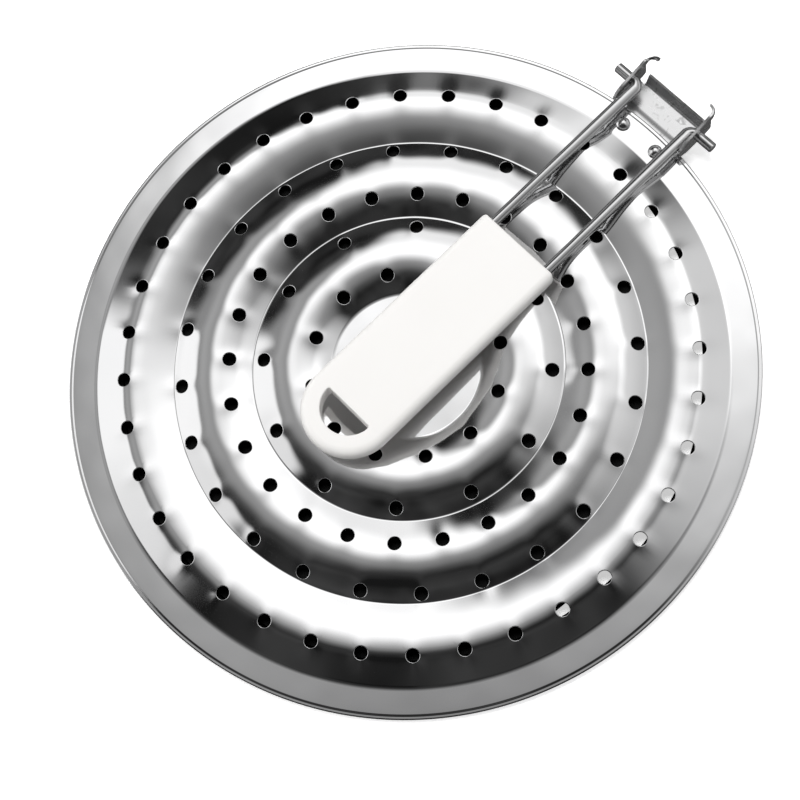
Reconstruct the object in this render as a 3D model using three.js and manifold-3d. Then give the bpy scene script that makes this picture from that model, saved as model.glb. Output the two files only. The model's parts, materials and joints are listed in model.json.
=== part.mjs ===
// Ribbed, perforated pan lid with a folding wire handle.
// Frame: origin at the centre of the underside of the flat centre pad, +Z up, hinge bracket on +X.
// Units are millimetres.
import * as THREE from 'three';
import { mergeVertices } from 'three/addons/utils/BufferGeometryUtils.js';
import Module from 'manifold-3d';

const wasm = await Module();
wasm.setup();

// ---- driving dimensions ----
const rimRadius = 130;
const sheet = 0.6;                 // thickness of the pressed disc
const discSides = 64;
const waveSteps = 6;               // facets across each pressed wave
const padRadius = 28.3;
const padHeight = 0.6;             // top of the centre pad; its underside is at z = 0
const creases = [                  // sharp valleys between the waves
  { radius: 58.6, z: 0.45 },
  { radius: 88.8, z: 0.25 },
];
const waveHeights = [3.2, 3.1];    // of the two inner waves, above the line between their creases
const outerCrest = { radius: 105, z: 2.95 };
const flangeInner = 121.5;         // the outer wave runs out flat here
const lipStart = 127.6;            // the rim turns down from here
const lipDrop = 0.45;

const holeRadius = 2.5;
const holeSides = 8;
const drillLength = 20;
const holeRings = [                // radius, number of holes, angle of the first one in degrees
  { radius: 107.6, count: 36, start: 6.9 },
  { radius: 85.5, count: 24, start: 4.2 },
  { radius: 67.2, count: 24, start: 12.0 },
  { radius: 54.1, count: 12, start: 11.6 },
  { radius: 35.8, count: 12, start: 27.1 },
];

const bracketSheet = 1;            // thickness of the hinge bracket
const fitGap = 0.3;                // room between pieces that touch
const tongueStart = 118;
const tongueHalf = 13;
const tongueTop = -sheet - fitGap;
const webTop = -1.4;
const webHalf = 17.1;
const lipHalf = 14;
const lipTop = 3.4;
const lipTopX = 144.6;
const earInner = 16.1;
const earStartX = 130.6;
const earEndX = 144.3;
const tabEndX = 148;
const tabBottom = 8.2;
const tabTop = 11.8;

const rivetX = 123.6;
const rivetY = 8.3;
const rivetShank = 1.3;
const rivetHead = 2.8;

const hingeX = 137.5;
const hingeZ = 5;
const wireRadius = 2;
const wireSides = 12;
const legY = 13.8;
const pinTipY = 24.4;
const pinBend = 2.25;              // centre-line radius where a leg turns into its pin
const handleTilt = THREE.MathUtils.degToRad(2.4);

const gripStart = -77.5;           // along the legs, from the hinge
const gripEnd = -183.1;
const gripHalf = 18.3;
const gripThick = 8;
const gripBevel = 1.4;
const wireEnd = -146;              // bottom of the wire's closed end, inside the grip
const hangRadius = 10.7;
const gripCorner = 1.6;            // plan corners at the wire end

// ---- materials ----
const polishedSteel = new THREE.MeshStandardMaterial({ color: 0xc9cacc, metalness: 1, roughness: 0.12 });
const brightWire = new THREE.MeshStandardMaterial({ color: 0xbfc0c2, metalness: 1, roughness: 0.18 });
const whitePlastic = new THREE.MeshStandardMaterial({ color: 0xf2f1ef, metalness: 0, roughness: 0.45 });

// ---- booleans ----
function toSolid(geometry) {
  const bare = geometry.index ? geometry.toNonIndexed() : geometry.clone();
  bare.deleteAttribute('normal');
  bare.deleteAttribute('uv');
  const merged = mergeVertices(bare, 1e-4);
  const corners = [];
  for (let i = 0; i < merged.index.count; i += 3) {
    const [a, b, c] = [0, 1, 2].map((k) => merged.index.getX(i + k));
    if (a !== b && b !== c && c !== a) corners.push(a, b, c);    // drops the slivers on a lathe's axis
  }
  return new wasm.Manifold(new wasm.Mesh({
    numProp: 3,
    vertProperties: new Float32Array(merged.attributes.position.array),
    triVerts: new Uint32Array(corners),
  }));
}

function toGeometry(solid) {
  const mesh = solid.getMesh();
  const geometry = new THREE.BufferGeometry();
  geometry.setAttribute('position', new THREE.BufferAttribute(mesh.vertProperties, 3));
  geometry.setIndex(new THREE.BufferAttribute(mesh.triVerts, 1));
  geometry.computeVertexNormals();
  return geometry;
}

// A drill along Z that goes right through the disc and the bracket's tongue.
function drill(radius, x, y) {
  const geometry = new THREE.CylinderGeometry(radius, radius, drillLength, holeSides);
  geometry.rotateX(Math.PI / 2);
  geometry.translate(x, y, 0);
  return toSolid(geometry);
}

// ---- pressed disc ----
// Points of the top surface from one radius to another, without the first one.
function wave(from, to, heightAt) {
  return Array.from({ length: waveSteps }, (_, i) => {
    const t = (i + 1) / waveSteps;
    return new THREE.Vector2(THREE.MathUtils.lerp(from, to, t), heightAt(t));
  });
}

// The two inner waves are half sines that meet in sharp creases. The outer one rises as a quarter
// sine from its crease, and runs out into the flange as a smooth S.
function discTop() {
  const valleys = [{ radius: padRadius, z: padHeight }, ...creases];
  const top = [new THREE.Vector2(0, padHeight), new THREE.Vector2(padRadius, padHeight)];
  waveHeights.forEach((height, i) => {
    const [a, b] = [valleys[i], valleys[i + 1]];
    const arch = (t) => THREE.MathUtils.lerp(a.z, b.z, t) + height * Math.sin(Math.PI * t);
    top.push(...wave(a.radius, b.radius, arch));
  });
  const crease = creases[creases.length - 1];
  const climb = (t) => crease.z + (outerCrest.z - crease.z) * Math.sin((Math.PI * t) / 2);
  const runOut = (t) => (outerCrest.z * (1 + Math.cos(Math.PI * t))) / 2;
  top.push(...wave(crease.radius, outerCrest.radius, climb).filter((_, i) => i % 2));
  top.push(...wave(outerCrest.radius, flangeInner, runOut));
  top.push(new THREE.Vector2(lipStart, 0), new THREE.Vector2(rimRadius, -lipDrop));
  return top;
}

function perforatedDisc() {
  const top = discTop();
  const under = top.map((p) => new THREE.Vector2(p.x, p.y - sheet));
  const geometry = new THREE.LatheGeometry([...under, ...top.reverse()], discSides);
  geometry.rotateX(Math.PI / 2);
  let disc = toSolid(geometry);
  for (const ring of holeRings) {
    for (let i = 0; i < ring.count; i += 1) {
      const angle = THREE.MathUtils.degToRad(ring.start) + (i * 2 * Math.PI) / ring.count;
      const x = ring.radius * Math.cos(angle);
      const y = ring.radius * Math.sin(angle);
      disc = disc.subtract(drill(holeRadius, x, y));
    }
  }
  for (const side of [-1, 1]) {
    disc = disc.subtract(drill(rivetShank + fitGap, rivetX, side * rivetY));
  }
  return toGeometry(disc);
}

// ---- hinge bracket ----
// A side outline in X and Z, swept across Y.
function acrossY(points, from, to) {
  const shape = new THREE.Shape(points.map(([x, z]) => new THREE.Vector2(x, z)));
  const geometry = new THREE.ExtrudeGeometry(shape, { depth: to - from, bevelEnabled: false });
  geometry.rotateX(Math.PI / 2);
  geometry.translate(0, to, 0);
  return geometry;
}

function tongueOutline() {
  const t = bracketSheet;
  return [
    [tongueStart, tongueTop - t], [126.8, tongueTop - t], [128.2, webTop - t],
    [132, webTop - t], [132, webTop], [128.2, webTop], [126.8, tongueTop], [tongueStart, tongueTop],
  ];
}

function webOutline() {
  const t = bracketSheet;
  return [
    [130.9, webTop - t], [142.2, webTop - t], [143.4, webTop - 0.4], [lipTopX + 0.9, lipTop],
    [lipTopX, lipTop], [142.6, webTop + 0.4], [141.8, webTop], [130.9, webTop],
  ];
}

function floorOutline() {
  const t = bracketSheet;
  return [[earStartX, webTop - t], [142, webTop - t], [142, webTop], [earStartX, webTop]];
}

function earOutline() {
  return [
    [earStartX, webTop - bracketSheet], [earEndX - 1.6, webTop - bracketSheet], [earEndX, webTop + 0.6],
    [earEndX, tabBottom], [tabEndX, tabBottom], [tabEndX, tabTop], [earEndX - 0.4, tabTop],
    [140.5, 10.6], [134, 9.6], [130.4, 8.8], [128.2, 7.2], [127.2, 4.6], [127.6, 2.2],
    [128.9, 1], [earStartX, 0.8],
  ];
}

function hingeBracket() {
  let bracket = toSolid(acrossY(tongueOutline(), -tongueHalf, tongueHalf));
  bracket = bracket.add(toSolid(acrossY(floorOutline(), -webHalf, webHalf)));
  bracket = bracket.add(toSolid(acrossY(webOutline(), -lipHalf, lipHalf)));
  for (const side of [-1, 1]) {
    const near = side * earInner;
    const far = side * (earInner + bracketSheet);
    bracket = bracket.add(toSolid(acrossY(earOutline(), Math.min(near, far), Math.max(near, far))));
    const pinHole = new THREE.CylinderGeometry(wireRadius + fitGap, wireRadius + fitGap, 6, wireSides);
    pinHole.translate(hingeX, side * (earInner + bracketSheet / 2), hingeZ);
    bracket = bracket.subtract(toSolid(pinHole));
    bracket = bracket.subtract(drill(rivetShank + fitGap, rivetX, side * rivetY));
  }
  return toGeometry(bracket);
}

// ---- rivets ----
function rivet() {
  const under = tongueTop - bracketSheet - fitGap;
  const profile = [
    [0, under - 0.8], [1.8, under - 0.7], [2.4, under], [rivetShank, under],
    [rivetShank, fitGap], [rivetHead, fitGap], [2.5, 1.1], [1.5, 1.8], [0, 2],
  ];
  const points = profile.map(([r, z]) => new THREE.Vector2(r, z));
  const geometry = new THREE.LatheGeometry(points, wireSides);
  geometry.rotateX(Math.PI / 2);
  return toGeometry(toSolid(geometry));
}

// ---- handle ----
// The wire's centre line, with the hinge axis on Y through the origin and the legs along -X.
class WireRoute extends THREE.Curve {
  constructor(stations) {
    super();
    this.stations = stations;
  }

  getPoint(t, target = new THREE.Vector3()) {
    const place = t * (this.stations.length - 1);
    const i = Math.min(Math.floor(place), this.stations.length - 2);
    return target.lerpVectors(this.stations[i], this.stations[i + 1], place - i);
  }

  getUtoTmapping(u) {
    return u;
  }
}

function arc(cx, cy, radius, from, to, steps) {
  return Array.from({ length: steps + 1 }, (_, i) => {
    const angle = THREE.MathUtils.degToRad(from + ((to - from) * i) / steps);
    return new THREE.Vector3(cx + radius * Math.cos(angle), cy + radius * Math.sin(angle), 0);
  });
}

function wireStations() {
  const closedEnd = arc(wireEnd + legY, 0, legY, 90, 270, 12);
  const pinY = legY + pinBend;
  return [
    new THREE.Vector3(0, pinTipY, 0),
    ...arc(-pinBend, pinY, pinBend, 0, -90, 5),
    ...closedEnd,
    ...arc(-pinBend, -pinY, pinBend, 90, 0, 5),
    new THREE.Vector3(0, -pinTipY, 0),
  ];
}

function wire(radius) {
  const stations = wireStations();
  const section = new THREE.Shape();
  section.absarc(0, 0, radius, 0, 2 * Math.PI);
  return toSolid(new THREE.ExtrudeGeometry(section, {
    steps: stations.length - 1,
    curveSegments: wireSides / 2,
    extrudePath: new WireRoute(stations),
  }));
}

function gripSolid() {
  const endX = gripEnd + gripHalf;
  const corner = gripCorner;
  const outline = new THREE.Shape();
  outline.moveTo(endX, -gripHalf);
  outline.lineTo(gripStart - corner, -gripHalf);
  outline.absarc(gripStart - corner, -gripHalf + corner, corner, -Math.PI / 2, 0);
  outline.absarc(gripStart - corner, gripHalf - corner, corner, 0, Math.PI / 2);
  outline.lineTo(endX, gripHalf);
  outline.absarc(endX, 0, gripHalf, Math.PI / 2, (3 * Math.PI) / 2);
  const hanging = new THREE.Path();
  hanging.absarc(endX, 0, hangRadius, Math.PI / 2, (3 * Math.PI) / 2);
  hanging.closePath();
  outline.holes.push(hanging);
  const geometry = new THREE.ExtrudeGeometry(outline, {
    depth: gripThick - 2 * gripBevel,
    bevelThickness: gripBevel,
    bevelSize: gripBevel,
    bevelOffset: -gripBevel,
    bevelSegments: 2,
    curveSegments: 10,
  });
  geometry.translate(0, 0, gripBevel - gripThick / 2);
  return toSolid(geometry).subtract(wire(wireRadius + fitGap));
}

// ---- assembly ----
function place(group, name, geometry, material, position = [0, 0, 0]) {
  const mesh = new THREE.Mesh(geometry, material);
  mesh.name = name;
  mesh.position.set(...position);
  group.add(mesh);
}

const lid = new THREE.Group();
place(lid, 'perforated_disc', perforatedDisc(), polishedSteel);
place(lid, 'hinge_bracket', hingeBracket(), polishedSteel);
[-1, 1].forEach((side, i) => {
  place(lid, `rivet_${i + 1}`, rivet(), polishedSteel, [rivetX, side * rivetY, 0]);
});

const handle = new THREE.Group();
handle.position.set(hingeX, 0, hingeZ);
handle.rotation.y = handleTilt;
place(handle, 'handle_wire', toGeometry(wire(wireRadius)), brightWire);
place(handle, 'grip', toGeometry(gripSolid()), whitePlastic);
lid.add(handle);

export default lid;
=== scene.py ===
import json
from math import atan2, cos, exp, hypot, pi, radians, sin, sqrt

import bmesh
import bpy
from mathutils import Matrix, Vector


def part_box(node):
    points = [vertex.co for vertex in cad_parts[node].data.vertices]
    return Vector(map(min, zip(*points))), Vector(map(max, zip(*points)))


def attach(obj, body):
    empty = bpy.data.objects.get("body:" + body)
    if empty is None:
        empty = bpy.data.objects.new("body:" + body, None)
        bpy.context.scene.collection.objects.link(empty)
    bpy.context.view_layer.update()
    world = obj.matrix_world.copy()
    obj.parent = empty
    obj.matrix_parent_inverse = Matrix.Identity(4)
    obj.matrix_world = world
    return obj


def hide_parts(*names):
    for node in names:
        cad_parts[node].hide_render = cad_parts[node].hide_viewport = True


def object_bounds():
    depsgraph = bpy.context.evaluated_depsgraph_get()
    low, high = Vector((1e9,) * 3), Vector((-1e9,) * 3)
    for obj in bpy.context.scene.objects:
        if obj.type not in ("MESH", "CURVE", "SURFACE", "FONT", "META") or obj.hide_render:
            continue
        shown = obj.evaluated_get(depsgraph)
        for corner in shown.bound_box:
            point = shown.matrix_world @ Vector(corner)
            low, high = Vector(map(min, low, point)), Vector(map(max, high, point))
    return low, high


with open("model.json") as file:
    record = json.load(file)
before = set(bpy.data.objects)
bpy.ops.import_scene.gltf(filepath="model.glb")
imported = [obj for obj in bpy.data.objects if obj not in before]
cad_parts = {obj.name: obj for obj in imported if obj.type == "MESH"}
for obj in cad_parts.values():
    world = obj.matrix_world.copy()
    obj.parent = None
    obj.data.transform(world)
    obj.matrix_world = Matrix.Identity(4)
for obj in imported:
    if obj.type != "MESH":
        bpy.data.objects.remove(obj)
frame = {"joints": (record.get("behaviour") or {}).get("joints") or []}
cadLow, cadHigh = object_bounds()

mm = 0.001
scene = bpy.context.scene
hinge = next(j for j in frame["joints"] if j["name"] == "handle_fold")
hingeX = hinge["pos_m"][0] / mm
hingeZ = hinge["pos_m"][2] / mm
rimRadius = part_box("perforated_disc")[1].x / mm


# helpers for all the pieces

def lerp(a, b, t):
    return a + (b - a) * t


def smooth01(t):
    t = min(max(t, 0.0), 1.0)
    return t * t * (3 - 2 * t)


def finishPiece(bm, name, body, replaced, material, sharpAngle=None):
    bmesh.ops.scale(bm, vec=(mm, mm, mm), verts=bm.verts)
    mesh = bpy.data.meshes.new(name)
    bm.to_mesh(mesh)
    bm.free()
    piece = bpy.data.objects.new(name, mesh)
    scene.collection.objects.link(piece)
    mesh.materials.append(material)
    mesh.shade_smooth()
    if sharpAngle is not None:
        mesh.set_sharp_from_angle(angle=radians(sharpAngle))
    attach(piece, body)
    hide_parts(replaced)
    return piece


def cleanUp(bm, gap=0.005):
    bmesh.ops.remove_doubles(bm, verts=bm.verts, dist=gap)
    bmesh.ops.recalc_face_normals(bm, faces=bm.faces)


def applyModifiers(piece):
    graph = bpy.context.evaluated_depsgraph_get()
    mesh = bpy.data.meshes.new_from_object(piece.evaluated_get(graph))
    piece.modifiers.clear()
    old = piece.data
    piece.data = mesh
    bpy.data.meshes.remove(old)


def addNode(tree, kind, place, **values):
    node = tree.nodes.new(kind)
    node.location = place
    for key, value in values.items():
        if hasattr(node, key):
            setattr(node, key, value)
        else:
            node.inputs[key.replace("_", " ")].default_value = value
    return node


# the camera looks down from a little to the lower right, with the bracket towards the upper right
view = dict(
    bracketTurn=44.3,      # degrees from the right of the view round to the bracket
    leanRight=7.45,        # degrees the camera leans to the right from straight above
    leanDown=14.3,         # degrees it leans towards the bottom edge
    distance=5.11,         # in rim radii
    shiftRight=0.0204,     # where the disc's centre lies, also in rim radii
    shiftUp=0.0969,
    lens=80.3,
    sensor=36,
)


def addCamera():
    data = bpy.data.cameras.new("lidCamera")
    data.lens = view["lens"]
    data.sensor_width = view["sensor"]
    data.clip_start = 0.01
    data.clip_end = 20
    camera = bpy.data.objects.new("lidCamera", data)
    scene.collection.objects.link(camera)
    turn = Matrix.Rotation(-radians(view["bracketTurn"]), 4, "Z")
    lean = (Matrix.Rotation(radians(view["leanRight"]), 4, "Y")
            @ Matrix.Rotation(radians(view["leanDown"]), 4, "X"))
    away = Vector((-view["shiftRight"], -view["shiftUp"], view["distance"])) * rimRadius * mm
    camera.matrix_world = turn @ lean @ Matrix.Translation(away)
    scene.camera = camera


addCamera()
print("camera placed")


# materials, each from noise over the object's own coordinates

def startMaterial(name):
    material = bpy.data.materials.new(name)
    material.use_nodes = True
    tree = material.node_tree
    tree.nodes.clear()
    output = addNode(tree, "ShaderNodeOutputMaterial", (900, 0))
    shader = addNode(tree, "ShaderNodeBsdfPrincipled", (600, 0))
    tree.links.new(shader.outputs["BSDF"], output.inputs["Surface"])
    coords = addNode(tree, "ShaderNodeTexCoord", (-1400, 0))
    return material, tree, shader, coords.outputs["Object"]


def addNoise(tree, vector, place, scale, detail, **values):
    node = addNode(tree, "ShaderNodeTexNoise", place, Scale=scale, Detail=detail, **values)
    tree.links.new(vector, node.inputs["Vector"])
    return node.outputs["Fac"]


def addRange(tree, value, place, fromSpan=(0, 1), toSpan=(0, 1), **values):
    node = addNode(tree, "ShaderNodeMapRange", place, **values)
    for key, number in zip(("From Min", "From Max", "To Min", "To Max"), (*fromSpan, *toSpan)):
        node.inputs[key].default_value = number
    tree.links.new(value, node.inputs["Value"])
    return node.outputs["Result"]


def addColours(tree, value, low, high):
    node = addNode(tree, "ShaderNodeValToRGB", (-600, 300))
    for stop, colour in zip(node.color_ramp.elements, (low, high)):
        stop.color = (*colour, 1)
    tree.links.new(value, node.inputs["Fac"])
    return node.outputs["Color"]


def addBump(tree, shader, height, strength, distance):
    node = addNode(tree, "ShaderNodeBump", (300, -300), Strength=strength, Distance=distance)
    tree.links.new(height, node.inputs["Height"])
    tree.links.new(node.outputs["Normal"], shader.inputs["Normal"])


def polishedSteel():
    material, tree, shader, coords = startMaterial("polishedPressedSteel")
    link = tree.links.new
    shader.inputs["Metallic"].default_value = 1
    tone = addNoise(tree, coords, (-900, 300), 14, 3)
    colour = addColours(tree, tone, (0.80, 0.80, 0.81), (0.88, 0.88, 0.88))
    link(colour, shader.inputs["Base Color"])
    haze = addNoise(tree, coords, (-900, -50), 55, 4)
    link(addRange(tree, haze, (-600, -50), toSpan=(0.05, 0.10)), shader.inputs["Roughness"])
    waves = addNoise(tree, coords, (-900, -350), 38, 1)
    addBump(tree, shader, waves, 0.35, 0.0006)
    return material


def brushedSteel(name, low, high, rough, stretch, bumpDistance, marks=0):
    material, tree, shader, coords = startMaterial(name)
    link = tree.links.new
    shader.inputs["Metallic"].default_value = 1
    mapping = addNode(tree, "ShaderNodeMapping", (-1150, 0), Scale=stretch)
    link(coords, mapping.inputs["Vector"])
    grain = addNoise(tree, mapping.outputs["Vector"], (-900, 200), 1, 5)
    colour = addColours(tree, grain, (low, low, low * 1.01), (high, high, high))
    if marks:              # rubbed and scratched in places
        scuff = addNoise(tree, coords, (-900, 700), marks, 6, Distortion=1.5)
        darker = addNode(tree, "ShaderNodeMix", (-100, 500), data_type="RGBA")
        darker.inputs[7].default_value = (0.3, 0.3, 0.3, 1)
        link(addRange(tree, scuff, (-600, 700), (0.58, 0.68), (0, 0.55)), darker.inputs[0])
        link(colour, darker.inputs[6])
        colour = darker.outputs[2]
    link(colour, shader.inputs["Base Color"])
    link(addRange(tree, grain, (-600, 0), toSpan=rough), shader.inputs["Roughness"])
    addBump(tree, shader, grain, 0.4, bumpDistance)
    return material


def mouldedPlastic():
    material, tree, shader, coords = startMaterial("whiteMouldedPlastic")
    cloud = addNoise(tree, coords, (-900, 300), 30, 3)
    colour = addColours(tree, cloud, (0.86, 0.845, 0.825), (0.90, 0.89, 0.875))
    tree.links.new(colour, shader.inputs["Base Color"])
    shader.inputs["Roughness"].default_value = 0.42
    grain = addNoise(tree, coords, (-900, -300), 1400, 2)
    addBump(tree, shader, grain, 0.15, 0.00008)
    return material


# the pressed disc, drawn as one sheet and then thickened
disc = dict(
    sheet=0.6,
    turns=360,             # facets round the rim
    padRadius=28.3,
    padHeight=0.6,
    padBend=0.6,
    centreFan=6,           # no facet rings closer to the centre than this
    creases=((58.6, 0.45), (88.8, 0.25)),
    waveHeights=(3.2, 3.1),
    crestRadius=105,
    crestHeight=2.95,
    coneStart=111,         # the outer wave falls straight from here
    coneSlope=0.25,
    flangeBend=2.0,        # width of the bend into the flange
    stepStart=128.0,       # the rim steps down, runs flat and turns over at the edge
    stepWidth=1.0,
    stepDrop=0.36,
    edgeTurn=129.5,
    edgeDrop=0.15,
    edgeRow=0.25,
    ringStep=1.5,          # radial spacing of the facets
    holeRadius=2.5,
    holeMargin=1.4,        # plain metal kept round each hole before the facets start
    narrowRow=0.35,
    holeRows=6,            # facets across the square that a hole is opened in
    holeCuts=3,            # rings of facets between that square and the hole
    ringHold=3,            # each side of a ring, the facets keep that ring's own turn
    holeRings=(            # radius, holes, angle of the first one
        (107.6, 36, 6.9),
        (85.5, 24, 4.2),
        (67.2, 24, 12.0),
        (54.1, 12, 11.6),
        (35.8, 12, 27.1),
    ),
    ringLimits=(           # where each pierced band starts and ends, inner ring first
        (29.8, 42.4),
        (47.6, 58.6),
        (60.8, 73.4),
        (79.2, 88.8),
        (101.2, 114.0),
    ),
    swellHeight=0.17,      # the punch leaves the sheet slightly raised round each hole
    swellReach=3.2,
    swellStretch=1.7,      # further up and down the slope than round it
    swellEnd=3.2,          # in reaches
    holeEdge=0.26,
    valleyWidth=0.5,       # half width of the rounded bottom of a crease
    valleyFill=0.45,
)


def coneEnd():
    fall = disc["coneSlope"] * (disc["coneStart"] - disc["crestRadius"]) * 2 / pi
    coneTop = disc["crestHeight"] - fall
    bendDrop = disc["coneSlope"] * disc["flangeBend"] / 2
    return coneTop, disc["coneStart"] + (coneTop - bendDrop) / disc["coneSlope"]


def waveHeight(r):
    (creaseA, zA), (creaseB, zB) = disc["creases"]
    if r <= disc["padRadius"]:
        return disc["padHeight"]
    if r <= creaseA:
        t = (r - disc["padRadius"]) / (creaseA - disc["padRadius"])
        return lerp(disc["padHeight"], zA, t) + disc["waveHeights"][0] * sin(pi * t)
    if r <= creaseB:
        t = (r - creaseA) / (creaseB - creaseA)
        return lerp(zA, zB, t) + disc["waveHeights"][1] * sin(pi * t)
    if r <= disc["crestRadius"]:
        t = (r - creaseB) / (disc["crestRadius"] - creaseB)
        return zB + (disc["crestHeight"] - zB) * sin(pi * t / 2)
    coneTop, coneFoot = coneEnd()
    if r <= disc["coneStart"]:
        width = disc["coneStart"] - disc["crestRadius"]
        t = (r - disc["crestRadius"]) / width
        return disc["crestHeight"] - disc["coneSlope"] * width * 2 / pi * (1 - cos(pi * t / 2))
    if r <= coneFoot:
        return coneTop - disc["coneSlope"] * (r - disc["coneStart"])
    if r <= coneFoot + disc["flangeBend"]:
        return disc["coneSlope"] / 2 / disc["flangeBend"] * (coneFoot + disc["flangeBend"] - r) ** 2
    step = disc["stepDrop"] * smooth01((r - disc["stepStart"]) / disc["stepWidth"])
    turned = max(r - disc["edgeTurn"], 0) / (rimRadius - disc["edgeTurn"])
    return -step - disc["edgeDrop"] * turned ** 2


def sheetHeight(x, y):
    r = hypot(x, y)
    z = waveHeight(r)
    for crease, _ in disc["creases"]:      # a small round at the bottom of each crease
        off = abs(r - crease)
        if off < disc["valleyWidth"]:
            edge = waveHeight(crease + disc["valleyWidth"])
            fill = disc["valleyFill"] * (1 - off / disc["valleyWidth"]) ** 2
            z = max(z, lerp(z, edge, fill))
    for ringRadius, count, start in disc["holeRings"]:
        spacing = 2 * pi / count
        turn = (atan2(y, x) - radians(start)) / spacing
        angle = (turn - round(turn)) * spacing
        outward = (r * cos(angle) - ringRadius) / disc["swellStretch"]
        away = hypot(outward, r * sin(angle)) / disc["swellReach"]
        if away < disc["swellEnd"]:
            z += disc["swellHeight"] * exp(-away * away)
    return z


def sheetNormal(x, y):
    e = 0.01
    dx = (sheetHeight(x + e, y) - sheetHeight(x - e, y)) / (2 * e)
    dy = (sheetHeight(x, y + e) - sheetHeight(x, y - e)) / (2 * e)
    return Vector((-dx, -dy, 1)).normalized()


def plainBand(bm, radii):
    # a flat grid is rolled round the centre, and its two ends are merged afterwards
    rows = len(radii) - 1
    turns = disc["turns"]
    made = bmesh.ops.create_grid(bm, x_segments=rows, y_segments=turns, size=0.5)
    for v in made["verts"]:
        r = radii[round((v.co.x + 0.5) * rows)]
        angle = (v.co.y + 0.5) * 2 * pi
        v.co = (r * cos(angle), r * sin(angle), 0)


def openHole(bm, block, centre, radius, cuts):
    # drops the block of faces and runs the gap's edge in to a round hole
    gapEdges = [e for f in block for e in f.edges if len([n for n in e.link_faces if n in block]) == 1]
    bmesh.ops.delete(bm, geom=list(block), context="FACES")
    made = bmesh.ops.extrude_edge_only(bm, edges=gapEdges)["geom"]
    ring = {g for g in made if isinstance(g, bmesh.types.BMVert)}
    for v in ring:
        v.co = centre + (v.co - centre).normalized() * radius
    spokes = [e for v in ring for e in v.link_edges if e.other_vert(v) not in ring]
    bmesh.ops.subdivide_edges(bm, edges=spokes, cuts=cuts, use_grid_fill=True)


def holeBand(bm, low, high, ringRadius, count, start):
    # one pierced tile is drawn about the +X line and copied round
    step = 2 * pi / disc["turns"]
    cells = disc["turns"] // count
    half = disc["holeRadius"] + disc["holeMargin"]
    blockLow = max(ringRadius - half, low + disc["narrowRow"])
    blockHigh = min(ringRadius + half, high - disc["narrowRow"])
    inside = spread(low, blockLow)
    across = [lerp(blockLow, blockHigh, i / disc["holeRows"]) for i in range(disc["holeRows"] + 1)]
    outside = spread(blockHigh, high)
    radii = inside[:-1] + across + outside[1:]
    blockCells = min(2 * round(half / (ringRadius * step)) + cells % 2, cells - 2)
    rows = len(radii) - 1
    firstRow = len(inside) - 1
    tile = bmesh.new()
    bmesh.ops.create_grid(tile, x_segments=rows, y_segments=cells, size=0.5)
    block = set()
    for f in tile.faces:
        middle = f.calc_center_median()
        row = (middle.x + 0.5) * rows
        if firstRow < row < firstRow + disc["holeRows"] and abs(middle.y * cells) < blockCells / 2:
            block.add(f)
    for v in tile.verts:
        r = radii[round((v.co.x + 0.5) * rows)]
        angle = v.co.y * cells * step
        v.co = (r * cos(angle), r * sin(angle), 0)
    openHole(tile, block, Vector((ringRadius, 0, 0)), disc["holeRadius"], disc["holeCuts"])
    first = radians(snapStart(count, start))
    bmesh.ops.rotate(tile, cent=(0, 0, 0), matrix=Matrix.Rotation(first, 3, "Z"), verts=tile.verts)
    bmesh.ops.spin(tile, geom=tile.verts[:] + tile.edges[:] + tile.faces[:], axis=(0, 0, 1), cent=(0, 0, 0),
                   angle=2 * pi * (count - 1) / count, steps=count - 1, use_duplicate=True)
    tileMesh = bpy.data.meshes.new("tile")
    tile.to_mesh(tileMesh)
    tile.free()
    bm.from_mesh(tileMesh)
    bpy.data.meshes.remove(tileMesh)


def snapStart(count, start):
    # the nearest place where a tile's sides fall on the disc's facets
    step = 360 / disc["turns"]
    half = disc["turns"] // count % 2 / 2
    return (round(start / step - half) + half) * step


def residualTurn(r):
    # the mesh is turned the last part of a facet, so that each ring starts where it should
    stops = [(0, 0)]
    for ringRadius, count, start in sorted(disc["holeRings"]):
        offset = start - snapStart(count, start)
        stops += [(ringRadius - disc["ringHold"], offset), (ringRadius + disc["ringHold"], offset)]
    stops.append((rimRadius, 0))
    for (a, low), (b, high) in zip(stops, stops[1:]):
        if a <= r <= b:
            return radians(lerp(low, high, smooth01((r - a) / max(b - a, 0.001))))
    return 0.0


def spread(low, high):
    count = max(round((high - low) / disc["ringStep"]), 1)
    return [lerp(low, high, i / count) for i in range(count + 1)]


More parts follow.
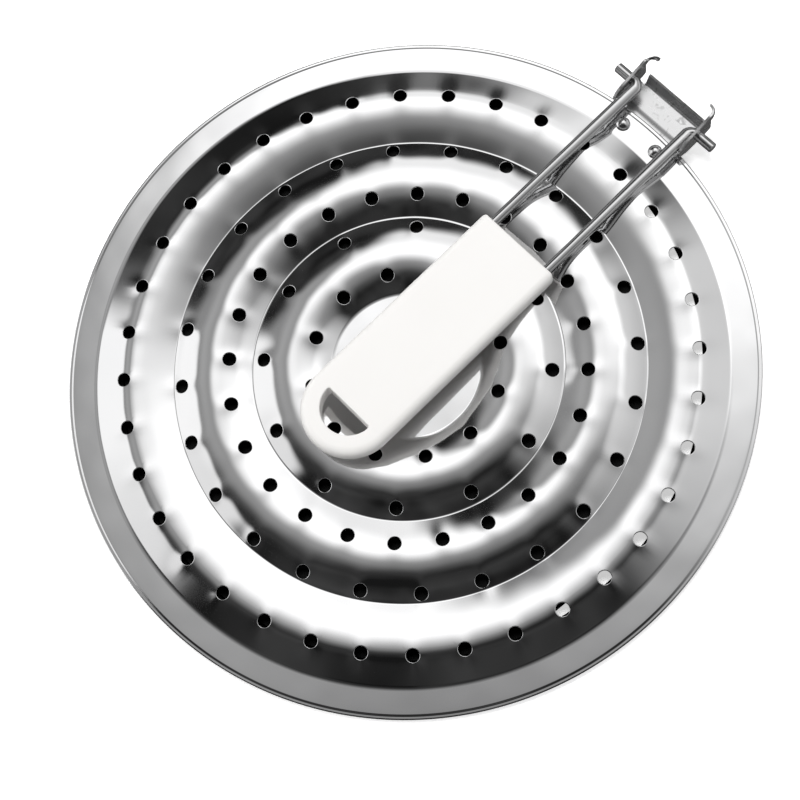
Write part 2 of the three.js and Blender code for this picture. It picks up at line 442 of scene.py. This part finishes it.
def drawSheet():
    bm = bmesh.new()
    _, coneFoot = coneEnd()
    valley = disc["valleyWidth"]
    step = disc["stepStart"]
    marks = [disc["padRadius"] + disc["padBend"], coneFoot, coneFoot + disc["flangeBend"], step,
             step + disc["stepWidth"] / 2, step + disc["stepWidth"], disc["edgeTurn"],
             rimRadius - disc["edgeRow"]]
    for crease, _ in disc["creases"]:
        marks += [crease + off for off in (-valley, -valley / 2, valley / 2, valley)]
    edge = 0.0
    plain = []
    for (ringRadius, count, start), (low, high) in zip(sorted(disc["holeRings"]), disc["ringLimits"]):
        plain.append((edge, low))
        holeBand(bm, low, high, ringRadius, count, start)
        edge = high
    plain.append((edge, rimRadius))
    for low, high in plain:
        stops = sorted({low, high, *[m for m in marks if low < m < high]})
        radii = []
        for a, b in zip(stops, stops[1:]):
            radii += spread(a, b)[:-1]
        radii.append(stops[-1])
        if low == 0:
            radii = [0.0] + [r for r in radii if r >= disc["centreFan"]]
        if high > low:
            plainBand(bm, radii)
    bmesh.ops.remove_doubles(bm, verts=bm.verts, dist=0.01)
    bmesh.ops.recalc_face_normals(bm, faces=bm.faces)
    if sum(f.normal.z for f in bm.faces) < 0:
        bmesh.ops.reverse_faces(bm, faces=bm.faces)
    for v in bm.verts:
        turn = residualTurn(v.co.xy.length)
        v.co.xy = (v.co.x * cos(turn) - v.co.y * sin(turn), v.co.x * sin(turn) + v.co.y * cos(turn))
        v.co.z = sheetHeight(v.co.x, v.co.y)
    return bm


def thicken(bm, side):
    # a copy of the sheet drops by its thickness, and the holes and the rim get walls
    openLoops = [e.link_loops[0] for e in bm.edges if e.is_boundary]
    walls = [(loop.edge, loop.link_loop_next.vert, loop.vert) for loop in openLoops]
    for f in bm.faces:
        f[side] = 1
    copied = bmesh.ops.duplicate(bm, geom=bm.verts[:] + bm.edges[:] + bm.faces[:])
    under = [g for g in copied["geom"] if isinstance(g, bmesh.types.BMFace)]
    for f in under:
        f[side] = -1
    bmesh.ops.translate(bm, vec=(0, 0, -disc["sheet"]),
                        verts=[g for g in copied["geom"] if isinstance(g, bmesh.types.BMVert)])
    bmesh.ops.reverse_faces(bm, faces=under)
    lower = copied["vert_map"]
    for _, a, b in walls:
        face = bm.faces.new((a, b, lower[b], lower[a]))
        face[side] = 0
    softened = bmesh.ops.bevel(bm, geom=[e for e, _, _ in walls], offset=disc["holeEdge"], segments=3,
                               profile=0.5, affect="EDGES", material=-1)
    for f in softened["faces"]:
        f[side] = 0


def polishNormals(mesh):
    # the broad faces take their shading from the drawn curve, so reflections run true
    sides = [0] * len(mesh.polygons)
    mesh.attributes["side"].data.foreach_get("value", sides)
    drawn = {}
    normals = [Vector((0, 0, 0))] * len(mesh.loops)
    for polygon, side in zip(mesh.polygons, sides):
        if side == 0:
            continue
        for i in polygon.loop_indices:
            v = mesh.loops[i].vertex_index
            if v not in drawn:
                drawn[v] = sheetNormal(mesh.vertices[v].co.x / mm, mesh.vertices[v].co.y / mm)
            normals[i] = drawn[v] * side
    mesh.normals_split_custom_set(normals)
    mesh.attributes.remove(mesh.attributes["side"])


def makeDisc():
    bm = drawSheet()
    print("sheet drawn:", len(bm.faces), "faces")
    side = bm.faces.layers.int.new("side")
    thicken(bm, side)
    print("sheet thickened:", len(bm.faces), "faces")
    piece = finishPiece(bm, "pressedDisc", "lid", "perforated_disc", polishedSteel(), 50)
    polishNormals(piece.data)


makeDisc()
print("disc done")


# the rivets, turned from one outline
rivet = dict(
    dome=((0, 0), (1.0, 0.12), (1.9, 0.55), (2.5, 1.1)),     # radius, and how far below the top
    seat=((2.78, 0.17), (2.7, 0.02), (1.25, 0.02)),          # radius and height
    foot=((1.25, 0.8), (2.3, 0.8), (2.2, 0.4), (1.5, 0.1), (0, 0)),     # radius, and how far above the bottom
    steps=40,
)


def makeRivet(name):
    low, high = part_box(name)
    centre = (low + high) / 2 / mm
    bottom, top = low.z / mm, high.z / mm
    outline = [(r, top - depth) for r, depth in rivet["dome"]]
    outline += rivet["seat"]
    outline += [(r, bottom + rise) for r, rise in rivet["foot"]]
    bm = bmesh.new()
    verts = [bm.verts.new((r, 0, z)) for r, z in outline]
    edges = [bm.edges.new(pair) for pair in zip(verts, verts[1:])]
    bmesh.ops.spin(bm, geom=verts + edges, axis=(0, 0, 1), cent=(0, 0, 0), angle=2 * pi,
                   steps=rivet["steps"], use_merge=True)
    bmesh.ops.translate(bm, vec=(centre.x, centre.y, 0), verts=bm.verts)
    cleanUp(bm)
    finishPiece(bm, name.replace("_", "") + "Dome", "lid", name, rivetSteel, sharpAngle=50)


rivetSteel = brushedSteel("rivetSteel", 0.72, 0.86, (0.10, 0.2), (180, 180, 180), 0.00002)
for rivetName in ("rivet_1", "rivet_2"):
    makeRivet(rivetName)
print("rivets done")


# the hinge bracket, one bent strip with two ears
bracket = dict(
    sheet=1.0,
    webMiddle=-1.9,        # height of the middle of the sheet between the ears
    tongueMiddle=-1.4,
    tongueStart=118,
    tongueHalf=13,
    joggle=(               # the strip steps down as it leaves the flange
        (126.6, -1.4), (127.2, -1.5), (127.9, -1.8), (128.5, -1.9),
    ),
    webStart=130.9,
    webEnd=141.2,
    lipHalf=14,
    lipTop=(144.1, 2.9),
    lipBend=1.5,
    lipTurns=(14, 28, 42, 56, 68),
    dip=0.45,              # the web is pressed down a little beside the rim
    dipLength=2.4,
    dipSteps=4,
    earMiddle=16.6,
    earBend=2.4,
    earFoot=0.5,
    earEnd=144.3,
    earToe=((143.2, 0.75), (144.0, 1.2), (144.3, 2.0)),
    earNose=(              # the rounded inner end of an ear, from its top edge round to its foot
        (143.4, 11.75), (142.4, 11.35), (140.5, 10.75), (137, 10.1), (134, 9.65), (131.9, 9.3), (130.4, 8.8),
        (129.1, 8.1), (128.2, 7.2), (127.5, 6.0), (127.2, 4.6), (127.25, 3.3), (127.7, 2.1), (128.6, 1.3),
        (129.6, 1.0), (130.6, 0.85),
    ),
    hookBottom=8.2,
    hookTop=11.8,
    hookCurl=3.2,
    hookTurn=92,
    hookSteps=7,
    hookTaper=0.3,
    hookLean=0.22,
    pinHole=2.3,
    edge=0.17,
)


def bracketFloor(bm):
    # tongue, web and outer lip are one bent strip
    top = Vector((bracket["lipTop"][0], 0, bracket["lipTop"][1]))
    r = bracket["lipBend"]
    steps = bracket["dipSteps"]
    dips = [bracket["webStart"] + bracket["dipLength"] * i / steps for i in range(steps + 1)]
    chain = [(bracket["tongueStart"], bracket["tongueMiddle"]), *bracket["joggle"],
             *[(x, bracket["webMiddle"]) for x in (*dips, bracket["webEnd"])]]
    for turn in bracket["lipTurns"]:
        a = radians(turn)
        chain.append((bracket["webEnd"] + r * sin(a), bracket["webMiddle"] + r * (1 - cos(a))))
    chain.append((top.x, top.z))
    flat = bracket["earMiddle"] - bracket["earBend"]
    halves = (bracket["tongueHalf"], bracket["lipHalf"], flat)
    lines = [-half for half in reversed(halves)] + list(halves)
    made = bmesh.ops.create_grid(bm, x_segments=len(chain) - 1, y_segments=len(lines) - 1, size=0.5)
    for v in made["verts"]:
        x, z = chain[round((v.co.x + 0.5) * (len(chain) - 1))]
        v.co = (x, lines[round((v.co.y + 0.5) * (len(lines) - 1))], z)
        if abs(v.co.y) < bracket["tongueHalf"] + 0.01 and x >= bracket["joggle"][-1][0]:
            v.co.z -= bracket["dip"] * (1 - smooth01((x - bracket["webStart"]) / bracket["dipLength"]))
    spare = []
    for f in bm.faces:
        middle = f.calc_center_median()
        if middle.x < bracket["webStart"] and abs(middle.y) > bracket["tongueHalf"]:
            spare.append(f)
        if middle.x > bracket["webEnd"] and abs(middle.y) > bracket["lipHalf"]:
            spare.append(f)
    bmesh.ops.delete(bm, geom=spare, context="FACES")


def bracketEar(bm, side):
    flat = bracket["earMiddle"] - bracket["earBend"]
    foot = [e for e in bm.edges if e.is_boundary
            and all(abs(v.co.y - side * flat) < 0.01 for v in e.verts)
            and all(bracket["webStart"] - 0.01 < v.co.x < bracket["webEnd"] + 0.01 for v in e.verts)]
    bmesh.ops.spin(bm, geom=foot, axis=(side, 0, 0), angle=pi / 2, steps=4,
                   cent=(0, side * flat, bracket["webMiddle"] + bracket["earBend"]))
    outline = [(bracket["webStart"], bracket["earFoot"]), (bracket["webEnd"], bracket["earFoot"]),
               *bracket["earToe"], (bracket["earEnd"], bracket["hookBottom"]),
               (bracket["earEnd"], bracket["hookTop"]), *bracket["earNose"]]
    y = side * bracket["earMiddle"]
    verts = [bm.verts.new((x, y, z)) for x, z in outline]
    edges = [bm.edges.new(pair) for pair in zip(verts, verts[1:] + verts[:1])]
    hookEdge = edges[2 + len(bracket["earToe"])]
    upright = Matrix.Translation((hingeX, y, hingeZ)) @ Matrix.Rotation(pi / 2, 4, "X")
    hole = bmesh.ops.create_circle(bm, segments=32, radius=bracket["pinHole"], matrix=upright)["verts"]
    holeEdges = list({e for v in hole for e in v.link_edges})
    bmesh.ops.triangle_fill(bm, edges=edges + holeEdges, use_beauty=True)
    bmesh.ops.spin(bm, geom=[hookEdge, *hookEdge.verts], axis=(0, 0, -side), steps=bracket["hookSteps"],
                   angle=radians(bracket["hookTurn"]),
                   cent=(bracket["earEnd"], y - side * bracket["hookCurl"], 0))
    middle = (bracket["hookBottom"] + bracket["hookTop"]) / 2
    for v in bm.verts:
        out = v.co.x - bracket["earEnd"]
        inward = side * (y - v.co.y)
        if out > 0.05 and v.co.z > bracket["hookBottom"] - 0.1:
            turned = atan2(out, bracket["hookCurl"] - inward)
            v.co.x += (bracket["hookTop"] - v.co.z) * bracket["hookLean"] * min(turned, 1)
            v.co.z = middle + (v.co.z - middle) * (1 - bracket["hookTaper"] * turned / (pi / 2))


def makeBracket():
    bm = bmesh.new()
    bracketFloor(bm)
    for side in (1, -1):
        bracketEar(bm, side)
    cleanUp(bm, 0.02)
    steel = brushedSteel("bracketSteel", 0.6, 0.86, (0.18, 0.36), (260, 60, 260), 0.00002, marks=170)
    piece = finishPiece(bm, "hingeBracketSheet", "lid", "hinge_bracket", steel, 40)
    thick = piece.modifiers.new("thick", "SOLIDIFY")
    thick.thickness = bracket["sheet"] * mm
    thick.offset = 0
    thick.use_even_offset = True
    soften = piece.modifiers.new("soften", "BEVEL")
    soften.width = bracket["edge"] * mm
    soften.segments = 2
    soften.limit_method = "ANGLE"
    soften.angle_limit = radians(45)
    even = piece.modifiers.new("even", "WEIGHTED_NORMAL")
    even.keep_sharp = False
    applyModifiers(piece)


makeBracket()
print("bracket done")


# the handle wire, one ring carried along the bends
wire = dict(
    radius=2,
    sides=24,
    legY=13.8,
    bend=2.25,             # centre line of the turn from leg to pin
    bendSteps=8,
    loopSteps=24,
    pinTip=24.4,
    pinChamfer=0.25,
    pressed=0.36,          # the legs are pressed wider towards the hinge
    pressStart=-62,
    pressEnd=-14,
    stations=24,           # along each leg
    loopEnd=-146,          # the closed end inside the grip, from the hinge
    tilt=2.4,              # degrees the legs rise towards the grip
)
handlePlace = Matrix.Translation((hingeX, 0, hingeZ)) @ Matrix.Rotation(radians(wire["tilt"]), 4, "Y")


def onward(bm, edges, move, swell=0.0, centre=None):
    # carries a ring of edges on along the wire, growing or shrinking it on the way
    made = bmesh.ops.extrude_edge_only(bm, edges=edges)["geom"]
    verts = [g for g in made if isinstance(g, bmesh.types.BMVert)]
    bmesh.ops.translate(bm, vec=move, verts=verts)
    if swell:
        middle = sum((v.co for v in verts), Vector()) / len(verts)
        for v in verts:
            v.co += (v.co - middle).normalized() * swell
    return [g for g in made if isinstance(g, bmesh.types.BMEdge) and all(v in verts for v in g.verts)]


def aroundBend(bm, edges, cent, angle, steps):
    verts = list({v for e in edges for v in e.verts})
    turned = bmesh.ops.spin(bm, geom=verts + edges, axis=(0, 0, 1), cent=cent, angle=angle, steps=steps)
    return [g for g in turned["geom_last"] if isinstance(g, bmesh.types.BMEdge)]


def makeWire():
    bm = bmesh.new()
    leg, bend, chamfer = wire["legY"], wire["bend"], wire["pinChamfer"]
    upright = Matrix.Translation((0, wire["pinTip"], 0)) @ Matrix.Rotation(pi / 2, 4, "X")
    start = bmesh.ops.create_circle(bm, segments=wire["sides"], radius=wire["radius"] - chamfer,
                                    cap_ends=True, matrix=upright)["verts"]
    edges = list({e for v in start for e in v.link_edges})
    edges = onward(bm, edges, (0, -chamfer, 0), chamfer)
    edges = onward(bm, edges, (0, leg + bend - wire["pinTip"] + chamfer, 0))
    edges = aroundBend(bm, edges, (-bend, leg + bend, 0), -pi / 2, wire["bendSteps"])
    loopCentre = wire["loopEnd"] + leg
    run = loopCentre + bend
    for _ in range(wire["stations"]):
        edges = onward(bm, edges, (run / wire["stations"], 0, 0))
    edges = aroundBend(bm, edges, (loopCentre, 0, 0), pi, wire["loopSteps"])
    for _ in range(wire["stations"]):
        edges = onward(bm, edges, (-run / wire["stations"], 0, 0))
    edges = aroundBend(bm, edges, (-bend, -leg - bend, 0), -pi / 2, wire["bendSteps"])
    edges = onward(bm, edges, (0, leg + bend - wire["pinTip"] + chamfer, 0))
    edges = onward(bm, edges, (0, -chamfer, 0), -chamfer)
    bmesh.ops.edgeloop_fill(bm, edges=edges)
    for v in bm.verts:
        side = 1 if v.co.y > 0 else -1
        inward = leg - side * v.co.y
        if inward > 0:
            amount = smooth01((v.co.x - wire["pressStart"]) / (wire["pressEnd"] - wire["pressStart"]))
            v.co.y -= side * inward * wire["pressed"] * amount
    bmesh.ops.transform(bm, matrix=handlePlace, verts=bm.verts)
    cleanUp(bm, 0.001)
    steel = brushedSteel("drawnWire", 0.5, 0.8, (0.12, 0.24), (14, 420, 420), 0.000008)
    finishPiece(bm, "foldedWire", "handle", "handle_wire", steel, 40)


makeWire()
print("wire done")


# the grip, rings stacked from its underside to its top
grip = dict(
    start=-77.5,           # from the hinge
    endCentre=-164.8,
    half=18.3,
    thick=8,
    corner=1.6,
    edge=3.2,
    frontEdge=0.6,         # the end by the wire is sharper
    hangRadius=10.7,
    hangCorner=0.7,
    hangShoulder=0.1,      # the flat side's corners stand in a little from the round
    hangTurn=6,            # degrees from the flat side to the start of the round
    hangEdge=0.55,
    socketRadius=2.3,      # where the wire goes in
    socketDepth=3,
    socketSides=28,
)


def arc(cx, cy, r, fromTurn, toTurn, steps):
    turns = [radians(lerp(fromTurn, toTurn, i / steps)) for i in range(steps + 1)]
    return [(cx + r * cos(a), cy + r * sin(a)) for a in turns]


def closedLine(bm, points, z):
    verts = [bm.verts.new((x, y, z)) for x, y in points]
    return [bm.edges.new(pair) for pair in zip(verts, verts[1:] + verts[:1])]


def gripOutline(inset, frontInset):
    start, half = grip["start"] - frontInset, grip["half"] - inset
    c = max(grip["corner"] - inset, 0.3)
    return (arc(start - c, half - c, c, 0, 90, 6) + arc(grip["endCentre"], 0, half, 90, 270, 56)
            + arc(start - c, c - half, c, -90, 0, 6))


def hangOutline(grow):
    c, r, flat = grip["hangCorner"], grip["hangRadius"] + grow, grip["endCentre"] + grow
    cornerY = r - c - grip["hangShoulder"]
    first = 90 + grip["hangTurn"]
    return (arc(flat - c, cornerY, c, 0, 90, 4)[:-1] + arc(grip["endCentre"], 0, r, first, 360 - first, 32)
            + arc(flat - c, -cornerY, c, -90, 0, 4)[1:])


def roundedLevels(radius, steps):
    # from the underside to the top: how far in the round has come, and at what height
    half = grip["thick"] / 2
    turns = [pi / 2 * i / steps for i in range(steps + 1)]
    rising = [(radius * (1 - sin(a)), radius * (1 - cos(a)) - half) for a in turns]
    return rising + [(inset, -z) for inset, z in reversed(rising)]


def stackRings(bm, rings):
    for lower, upper in zip(rings, rings[1:]):
        bmesh.ops.bridge_loops(bm, edges=lower + upper)


def makeGrip():
    bm = bmesh.new()
    start, frontEdge = grip["start"], grip["frontEdge"]
    outer = []
    for inset, z in roundedLevels(grip["edge"], 6):
        rise = max(abs(z) - grip["thick"] / 2 + frontEdge, 0) / frontEdge
        frontInset = frontEdge * (1 - sqrt(max(1 - rise * rise, 0)))
        outer.append(closedLine(bm, gripOutline(inset, frontInset), z))
    inner = [closedLine(bm, hangOutline(grow), z) for grow, z in roundedLevels(grip["hangEdge"], 3)]
    stackRings(bm, outer)
    stackRings(bm, inner)
    for i in (0, -1):
        bmesh.ops.triangle_fill(bm, edges=outer[i] + inner[i], use_beauty=True)
    bmesh.ops.recalc_face_normals(bm, faces=bm.faces)
    # the end face is opened for the two legs
    front = [f for f in bm.faces if f.normal.x > 0.999 and f.calc_center_median().x > start - 0.02]
    inside = {e for f in front for e in f.edges if all(other in front for other in e.link_faces)}
    rim = [e for e in {e for f in front for e in f.edges} if e not in inside]
    bmesh.ops.delete(bm, geom=front, context="FACES_ONLY")
    bmesh.ops.delete(bm, geom=list(inside), context="EDGES")
    sockets = []
    for side in (1, -1):
        place = Matrix.Translation((start, side * wire["legY"], 0)) @ Matrix.Rotation(pi / 2, 4, "Y")
        made = bmesh.ops.create_circle(bm, segments=grip["socketSides"], radius=grip["socketRadius"],
                                       matrix=place)["verts"]
        sockets.append(list({e for v in made for e in v.link_edges}))
    bmesh.ops.triangle_fill(bm, edges=rim + sockets[0] + sockets[1], use_beauty=True)
    for ring in sockets:
        deep = onward(bm, ring, (-grip["socketDepth"], 0, 0))
        bmesh.ops.edgeloop_fill(bm, edges=deep)
    bmesh.ops.transform(bm, matrix=handlePlace, verts=bm.verts)
    cleanUp(bm, 0.002)
    piece = finishPiece(bm, "whiteGrip", "handle", "grip", mouldedPlastic(), 60)
    even = piece.modifiers.new("even", "WEIGHTED_NORMAL")
    even.keep_sharp = True
    applyModifiers(piece)


makeGrip()
print("grip done")


# floor, a black sheet of painted shade under the lid, lights and what the steel reflects
studio = dict(
    floorSize=14,
    floorTone=0.93,
    floorGlow=0.55,        # a lit table, so the lid throws no shadow
    dark=0.012,            # what the steel sees between the panels
    clouds=0.06,           # and how unevenly
    cloudSpan=(0.38, 0.68),
    horizon=0.42,          # pale walls low down, all round
    horizonRise=(-0.02, 0.03),
    horizonFall=(0.5, 0.25),
    underneath=0.09,
    underneathSpan=(-0.2, -0.45),
    ambient=0.08,
    backdrop=0.97,
    shadeSheetTone=0.012,
    shadeSheetRadius=0.1095,    # black sheet under the lid, painted shade standing in for the shadow beneath it
    openTurn=-12,          # degrees from the right of the view to the middle of its open crescent
    openHalf=52,
    openWidth=0.007,
    openBluntness=0.35,    # the lower, the blunter the crescent's ends
    shadeSheetRing=(0.1088, 0.12),
)
right, up, zenith, left = (1, 0, 0), (0, 1, 0), (0, 0, 1), (-1, 0, 0)
panels = (                 # soft rectangles on a wall or ceiling one unit away
    dict(wall=zenith, across=right, upwards=up,      # overhead softbox
         spanU=(-0.27, 0.42), spanV=(0.24, 1.2), soft=(0.09, 0.16), glow=1.2),
    dict(wall=zenith, across=right, upwards=up,      # and its glow round it
         spanU=(-0.5, 0.75), spanV=(0.0, 0.75), soft=(0.3, 0.18), glow=0.42),
    dict(wall=left, across=up, upwards=zenith,       # tall panel
         spanU=(-0.32, 0.58), spanV=(-0.2, 1.4), soft=(0.06, 0.1), glow=1.05),
    dict(wall=right, across=up, upwards=zenith,      # grey reflector
         spanU=(-0.45, 1.3), spanV=(-0.2, 3.0), soft=(0.35, 0.8), glow=0.5),
    dict(wall=zenith, across=right, upwards=up,      # dim ceiling on the left
         spanU=(-1.3, -0.42), spanV=(0.08, 0.7), soft=(0.15, 0.12), glow=0.27),
)
lights = dict(
    overhead=dict(azimuth=95, elevation=64, distance=2.0, size=1.1, power=30),
    leftPanel=dict(azimuth=180, elevation=35, distance=2.2, size=1.0, power=17),
    rightFill=dict(azimuth=0, elevation=35, distance=2.2, size=1.0, power=10),
    lowFill=dict(azimuth=270, elevation=35, distance=2.2, size=1.0, power=8),
)


def stagePiece(bm, name, materialName, tone, roughness):
    mesh = bpy.data.meshes.new(name)
    bm.to_mesh(mesh)
    bm.free()
    piece = bpy.data.objects.new(name, mesh)
    scene.collection.objects.link(piece)
    material = bpy.data.materials.new(materialName)
    material.use_nodes = True
    shader = material.node_tree.nodes["Principled BSDF"]
    shader.inputs["Base Color"].default_value = (tone, tone, tone, 1)
    shader.inputs["Roughness"].default_value = roughness
    shader.inputs["Specular IOR Level"].default_value = 0
    mesh.materials.append(material)
    return piece, shader


def addFloor():
    bm = bmesh.new()
    bmesh.ops.create_grid(bm, x_segments=2, y_segments=2, size=studio["floorSize"] / 2)
    floor, shader = stagePiece(bm, "floor", "paleFloor", studio["floorTone"], 0.9)
    shader.inputs["Emission Color"].default_value = (1, 1, 1, 1)
    shader.inputs["Emission Strength"].default_value = studio["floorGlow"]
    floor.location.z = cadLow.z
    floor.visible_glossy = False


def addPaintedShadeSheet():
    # painted shade: a black sheet under the lid stands in for the shadow beneath it and keeps its holes dark;
    # a crescent is left open on the right, where the pale floor shows through as light getting in under the
    # lid
    bm = bmesh.new()
    shadeDisc = bmesh.ops.create_circle(bm, segments=120, radius=1, cap_ends=True)["verts"]
    for v in shadeDisc:
        off = atan2(v.co.y, v.co.x) - radians(studio["openTurn"] - view["bracketTurn"])
        off = atan2(sin(off), cos(off))
        crescent = cos(min(abs(off) * pi / 2 / radians(studio["openHalf"]), pi / 2))
        v.co *= studio["shadeSheetRadius"] - studio["openWidth"] * crescent ** studio["openBluntness"]
    ring = []
    for radius in studio["shadeSheetRing"]:
        made = bmesh.ops.create_circle(bm, segments=96, radius=radius)["verts"]
        ring += list({e for v in made for e in v.link_edges})
    bmesh.ops.bridge_loops(bm, edges=ring)
    bmesh.ops.translate(bm, vec=(0, 0, cadLow.z + 0.1 * mm), verts=bm.verts)
    shadeSheet, _ = stagePiece(bm, "paintedShadeSheet", "paintedShadeSheet", studio["shadeSheetTone"], 1)


def addLight(name, azimuth, elevation, distance, size, power):
    data = bpy.data.lights.new(name, "AREA")
    data.shape = "RECTANGLE"
    data.size = size
    data.size_y = size
    data.energy = power
    light = bpy.data.objects.new(name, data)
    scene.collection.objects.link(light)
    a = radians(azimuth - view["bracketTurn"])
    e = radians(elevation)
    away = Vector((cos(a) * cos(e), sin(a) * cos(e), sin(e)))
    light.location = away * distance
    light.rotation_euler = away.to_track_quat("Z", "Y").to_euler()
    light.visible_glossy = False
    light.visible_camera = False


def maths(tree, operation, place, *values):
    node = addNode(tree, "ShaderNodeMath", place, operation=operation)
    for socket, value in zip(node.inputs, values):
        if isinstance(value, (int, float)):
            socket.default_value = value
        else:
            tree.links.new(value, socket)
    return node.outputs["Value"]


def along(tree, looking, axis, place):
    node = addNode(tree, "ShaderNodeVectorMath", place, operation="DOT_PRODUCT")
    node.inputs[1].default_value = axis
    tree.links.new(looking, node.inputs[0])
    return node.outputs["Value"]


def softStep(tree, value, place, span):
    return addRange(tree, value, place, span, interpolation_type="SMOOTHSTEP")


def within(tree, value, span, soft, x, y):
    rise = softStep(tree, value, (x, y), (span[0] - soft, span[0] + soft))
    fall = softStep(tree, value, (x, y), (span[1] + soft, span[1] - soft))
    return maths(tree, "MULTIPLY", (x + 200, y), rise, fall)


def panelGlow(tree, looking, panel, y):
    facing = maths(tree, "MAXIMUM", (-700, y), along(tree, looking, panel["wall"], (-900, y)), 0.001)
    across = along(tree, looking, panel["across"], (-900, y - 60))
    upwards = along(tree, looking, panel["upwards"], (-900, y - 120))
    u = maths(tree, "DIVIDE", (-500, y), across, facing)
    v = maths(tree, "DIVIDE", (-500, y - 60), upwards, facing)
    insideU = within(tree, u, panel["spanU"], panel["soft"][0], -300, y)
    insideV = within(tree, v, panel["spanV"], panel["soft"][1], -300, y - 60)
    inside = maths(tree, "MULTIPLY", (100, y), insideU, insideV)
    return maths(tree, "MULTIPLY", (300, y), inside, panel["glow"])


def addWorld():
    world = bpy.data.worlds.new("studioWorld")
    scene.world = world
    world.use_nodes = True
    tree = world.node_tree
    tree.nodes.clear()
    link = tree.links.new
    output = addNode(tree, "ShaderNodeOutputWorld", (1200, 0))
    coords = addNode(tree, "ShaderNodeTexCoord", (-1400, 0))
    turned = addNode(tree, "ShaderNodeVectorRotate", (-1200, 0), rotation_type="Z_AXIS",
                     Angle=radians(view["bracketTurn"]))
    link(coords.outputs["Generated"], turned.inputs["Vector"])
    looking = turned.outputs["Vector"]

    clouds = addNoise(tree, looking, (500, 600), 4.5, 1.5)
    total = addRange(tree, clouds, (700, 600), studio["cloudSpan"],
                     (studio["dark"], studio["dark"] + studio["clouds"]))
    for i, panel in enumerate(panels):
        glow = panelGlow(tree, looking, panel, 900 - 300 * i)
        total = maths(tree, "ADD", (500 + 100 * i, 300), total, glow)
    level = along(tree, looking, zenith, (100, 1200))
    rise = softStep(tree, level, (300, 1200), studio["horizonRise"])
    fall = softStep(tree, level, (300, 1200), studio["horizonFall"])
    walls = maths(tree, "MULTIPLY", (500, 1200), rise, fall)
    below = softStep(tree, level, (300, 1400), studio["underneathSpan"])
    total = maths(tree, "MULTIPLY_ADD", (700, 1200), walls, studio["horizon"], total)
    total = maths(tree, "MULTIPLY_ADD", (700, 1400), below, studio["underneath"], total)

    # the steel sees the panels, the matt surfaces a dim even light and the camera a pale backdrop
    reflected = addNode(tree, "ShaderNodeBackground", (450, 100))
    link(total, reflected.inputs["Strength"])
    ambient = addNode(tree, "ShaderNodeBackground", (450, -100), Strength=studio["ambient"])
    seen = addNode(tree, "ShaderNodeBackground", (450, -300), Strength=studio["backdrop"])
    rays = addNode(tree, "ShaderNodeLightPath", (450, 400))
    unseen = addNode(tree, "ShaderNodeMixShader", (700, 0))
    link(rays.outputs["Is Glossy Ray"], unseen.inputs["Fac"])
    link(ambient.outputs["Background"], unseen.inputs[1])
    link(reflected.outputs["Background"], unseen.inputs[2])
    mix = addNode(tree, "ShaderNodeMixShader", (900, 0))
    link(rays.outputs["Is Camera Ray"], mix.inputs["Fac"])
    link(unseen.outputs["Shader"], mix.inputs[1])
    link(seen.outputs["Background"], mix.inputs[2])
    link(mix.outputs["Shader"], output.inputs["Surface"])


addFloor()
# the black sheet of painted shade under the lid
addPaintedShadeSheet()
addWorld()
for lightName, values in lights.items():
    addLight(lightName, **values)
scene.view_settings.view_transform = "Standard"
print("studio ready")
